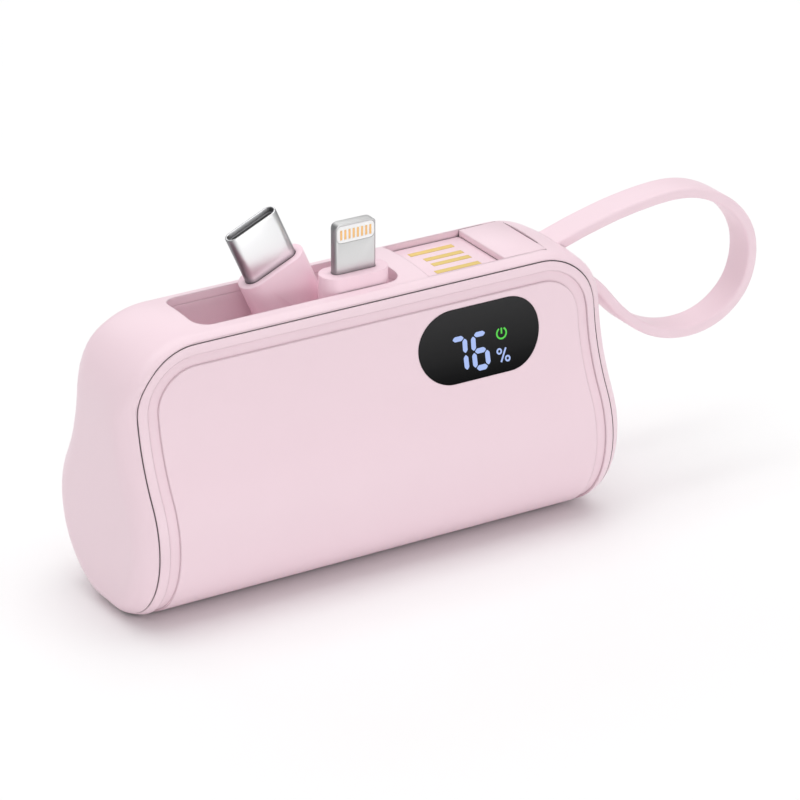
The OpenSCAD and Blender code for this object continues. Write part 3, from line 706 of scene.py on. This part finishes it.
def lit(name, base, strength):
    """A glowing part of the display, a little uneven in its brightness."""
    material, tree, shader = blank(name, Base_Color=colour("#202024"), Emission_Strength=strength,
                                   Roughness=0.4)
    place = add(tree, "ShaderNodeTexCoord").outputs["Object"]
    _, tone = mottled(tree, place, base, scale=SHIMMER, detail=1, dim=0.92)
    tree.links.new(tone, shader.inputs["Emission Color"])
    print(name, "has", len(tree.nodes), "nodes")
    return material


blue_light = lit("pale_blue_light", "#a9bff5", 1.0)
green_light = lit("green_light", "#4cd63c", 1.0)

# %% Bending a drawing on to the window
PROUD, SUNK = 0.03, 0.1


def front(z):
    """How far forward the casing's surface is, at a height in the waist or the neck."""
    return math.sqrt(WAIST_R ** 2 - min(z - WAIST_Z, 0) ** 2) - WAIST_Y


def on_window(bm, name, x, z, material):
    """Places a flat drawing on the window, gives it a little thickness and bends it on to the curve."""
    bmesh.ops.subdivide_edges(bm, edges=bm.edges, cuts=2, use_grid_fill=True)
    grown = bmesh.ops.extrude_face_region(bm, geom=bm.faces[:])["geom"]
    raised = {g for g in grown if isinstance(g, bmesh.types.BMVert)}
    for vert in bm.verts:
        across, height = vert.co.x + x, vert.co.y + z
        vert.co = (across, front(height) + (-PROUD if vert in raised else SUNK), height)
    bmesh.ops.recalc_face_normals(bm, faces=bm.faces)
    return piece(bm, name, "casing", material)


print("the window's middle is", round(-front(WINDOW_Z), 2), "mm in front of the casing's middle")

# %% Drawing a digit
BAR_OUT, BAR_UP = 1.06, 1.18                  # from a digit's middle to its upright bars: across and up
BAR_WIDE, BAR_TALL, BAR_FLAT = 0.74, 2.12, 1.85
PLACES = {"top": (0, 2, False), "middle": (0, 0, False), "bottom": (0, -2, False), "right_up": (1, 1, True),
          "right_low": (1, -1, True), "left_up": (-1, 1, True), "left_low": (-1, -1, True)}


def bar(bm, x, z, length, width, upright):
    """A bar of a digit, with pointed ends and softened tips."""
    tip = width / 2
    corners = [(-length / 2, 0), (tip - length / 2, -tip), (length / 2 - tip, -tip), (length / 2, 0),
               (length / 2 - tip, tip), (tip - length / 2, tip)]
    verts = [bm.verts.new((x - v, z + u, 0) if upright else (x + u, z + v, 0)) for u, v in corners]
    face = bm.faces.new(verts)
    bmesh.ops.bevel(bm, geom=list(face.verts), offset=0.13, segments=3, profile=0.5, affect="VERTICES",
                    material=-1)


def digit(bm, x, bars):
    """A digit from the names of the bars that are lit."""
    for name in bars:
        across, height, upright = PLACES[name]
        length = BAR_TALL if upright else BAR_FLAT
        bar(bm, x + across * BAR_OUT, height * BAR_UP, length, BAR_WIDE, upright)


bm = bmesh.new()
digit(bm, -1.75, ["top", "right_up", "right_low"])
digit(bm, 1.75, ["top", "left_up", "middle", "left_low", "right_low", "bottom"])
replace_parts(on_window(bm, "digits_lit", 15.35, TOP - 12.27, blue_light), "display_digits")

# %% Drawing the marks
def hoop(bm, x, z, radius, stroke, start=0, sweep=360):
    """A thin ring, or part of one."""
    inner, outer = radius - stroke / 2, radius + stroke / 2
    a = math.radians(start)
    ends = [bm.verts.new((x + r * math.cos(a), z + r * math.sin(a), 0)) for r in (inner, outer)]
    edge = bm.edges.new(ends)
    bmesh.ops.spin(bm, geom=[edge] + ends, cent=(x, z, 0), axis=(0, 0, 1), dvec=(0, 0, 0),
                   angle=math.radians(sweep), steps=20, use_merge=sweep == 360, use_duplicate=False)


def stroke_line(bm, x, z, length, width, degrees):
    """A straight stroke, turned by an angle."""
    made = bmesh.ops.create_grid(bm, x_segments=1, y_segments=1, size=0.5)["verts"]
    bmesh.ops.scale(bm, vec=(length, width, 1), verts=made)
    bmesh.ops.rotate(bm, cent=(0, 0, 0), matrix=Matrix.Rotation(math.radians(degrees), 3, "Z"), verts=made)
    bmesh.ops.translate(bm, vec=(x, z, 0), verts=made)


bm = bmesh.new()
hoop(bm, -0.62, 0.6, 0.33, 0.24)
hoop(bm, 0.62, -0.6, 0.33, 0.24)
stroke_line(bm, 0, 0, 2.1, 0.26, 62)
on_window(bm, "percent_lit", 20.72, TOP - 13.66, blue_light)
bm = bmesh.new()
hoop(bm, 0, 0, 0.78, 0.24, start=120, sweep=300)
stroke_line(bm, 0, 0.35, 0.85, 0.24, 90)
on_window(bm, "green_mark", 20.7, TOP - 10.56, green_light)

# %% [markdown]
# ## Inside
# The inner parts keep their CAD shapes and get the finish of the real thing: a shrink sleeve on the cell,
# solder mask on the board, sintered ferrite, plain steel. They are seen only with the covers off, so each
# takes the moulded or the metal recipe with its own colour, roughness and grain.

# %% Inside
finishes = {
    moulded("cell_shrink_sleeve", "#3f6fa8", 0.3, 0.5, 0.1): ["battery_cell"],
    moulded("pressed_fibre_paper", "#e8e4d8", 0.8, 0.4, 0.02, depth=0.4): ["cell_insulator_ring"],
    moulded("closed_cell_foam", "#4a4a4e", 0.9, 0.5, 0.1, depth=0.8): ["cell_foam_pads"],
    moulded("solder_mask", "#1f6b45", 0.35, 0.6, 0.05): ["circuit_board"],
    moulded("epoxy_package", "#1d1d20", 0.55, 0.2, 0.05): ["display_module", "board_chips"],
    moulded("sintered_ferrite", "#55565a", 0.7, 0.3, 0.1, depth=0.3): ["power_inductor"],
    moulded("ceramic_body", "#b9a27a", 0.5, 0.2, 0.05): ["board_capacitors"],
    moulded("acetal_washer", "#f5f2ea", 0.4, 0.3, 0.03): ["hinge_washers"],
    pin_steel: ["bay_screws", "board_screws", "c_hinge_pin", "phone_hinge_pin", "cell_positive_cap",
                "cell_tabs"],
    contact_gold: ["display_pins", "usb_plug_contacts", "c_plug_contacts"],
    pad_gold: ["phone_plug_contacts"],
}
for material, names in finishes.items():
    for name in names:
        nodes[name].data.materials.clear()
        nodes[name].data.materials.append(material)
print(sum(len(names) for names in finishes.values()), "CAD nodes keep their shape and have a new finish")

# %% [markdown]
# ## Floor
# The object stands on a sheet of pale, matt paper, far wider than the view. It lies a hair under the flat
# base, because two faces in one plane would flicker.

# %% Floor
floor_bm = bmesh.new()
bmesh.ops.create_grid(floor_bm, x_segments=1, y_segments=1, size=6)
bmesh.ops.translate(floor_bm, vec=(0, 0, -0.02 * MM), verts=floor_bm.verts)
floor_mesh = bpy.data.meshes.new("studio_floor")
floor_bm.to_mesh(floor_mesh)
floor_bm.free()
floor = bpy.data.objects.new("studio_floor", floor_mesh)
bpy.context.scene.collection.objects.link(floor)
paper, _, _ = blank("pale_paper", Base_Color=colour("#fbfbfb"), Roughness=0.9)
floor_mesh.materials.append(paper)
print("the floor is", floor.dimensions.x, "m wide")

# %% [markdown]
# ## Light
# Soft studio light has no hard edges. The room itself gives most of it: its strength grows from the horizon
# up to the ceiling, which shades the casing's curves gently. Three large area lights add the wide, soft
# highlights that show the shape of satin plastic: one overhead, a low one in front and one behind.

# %% Room light
HORIZON, CEILING, CEILING_FROM = 0.43, 0.63, 0.8

world = bpy.data.worlds.new("studio_world")
bpy.context.scene.world = world
world.use_nodes = True
tree = world.node_tree
sky = add(tree, "ShaderNodeSeparateXYZ", {"Vector": add(tree, "ShaderNodeTexCoord").outputs["Generated"]})
ceiling = add(tree, "ShaderNodeMapRange", {"Value": sky.outputs["Z"]}, From_Max=CEILING_FROM,
              To_Min=HORIZON, To_Max=CEILING)
tree.links.new(ceiling.outputs["Result"], tree.nodes["Background"].inputs["Strength"])
tree.nodes["Background"].inputs["Color"].default_value = colour("#ffffff")
print("the room's light grows from", HORIZON, "to", CEILING)

# %% Lamps
AIM_AT = Vector((0, 0, 0.02))


def lamp(name, place, size, power):
    """A rectangular white area light, turned towards the object."""
    light = bpy.data.lights.new(name, "AREA")
    light.shape = "RECTANGLE"
    light.size, light.size_y = size
    light.energy = power
    obj = bpy.data.objects.new(name, light)
    bpy.context.scene.collection.objects.link(obj)
    obj.location = place
    obj.rotation_euler = (AIM_AT - Vector(place)).to_track_quat("-Z", "Y").to_euler()
    print(name, "gives", power, "W")


lamp("overhead_light", (0, 0, 1.3), (1.4, 1.2), 9.24)
lamp("front_light", (-0.1, -1.3, 0.16), (1.2, 0.3), 2.5)
lamp("back_light", (0.2, 1.2, 0.8), (1.2, 0.5), 1.73)
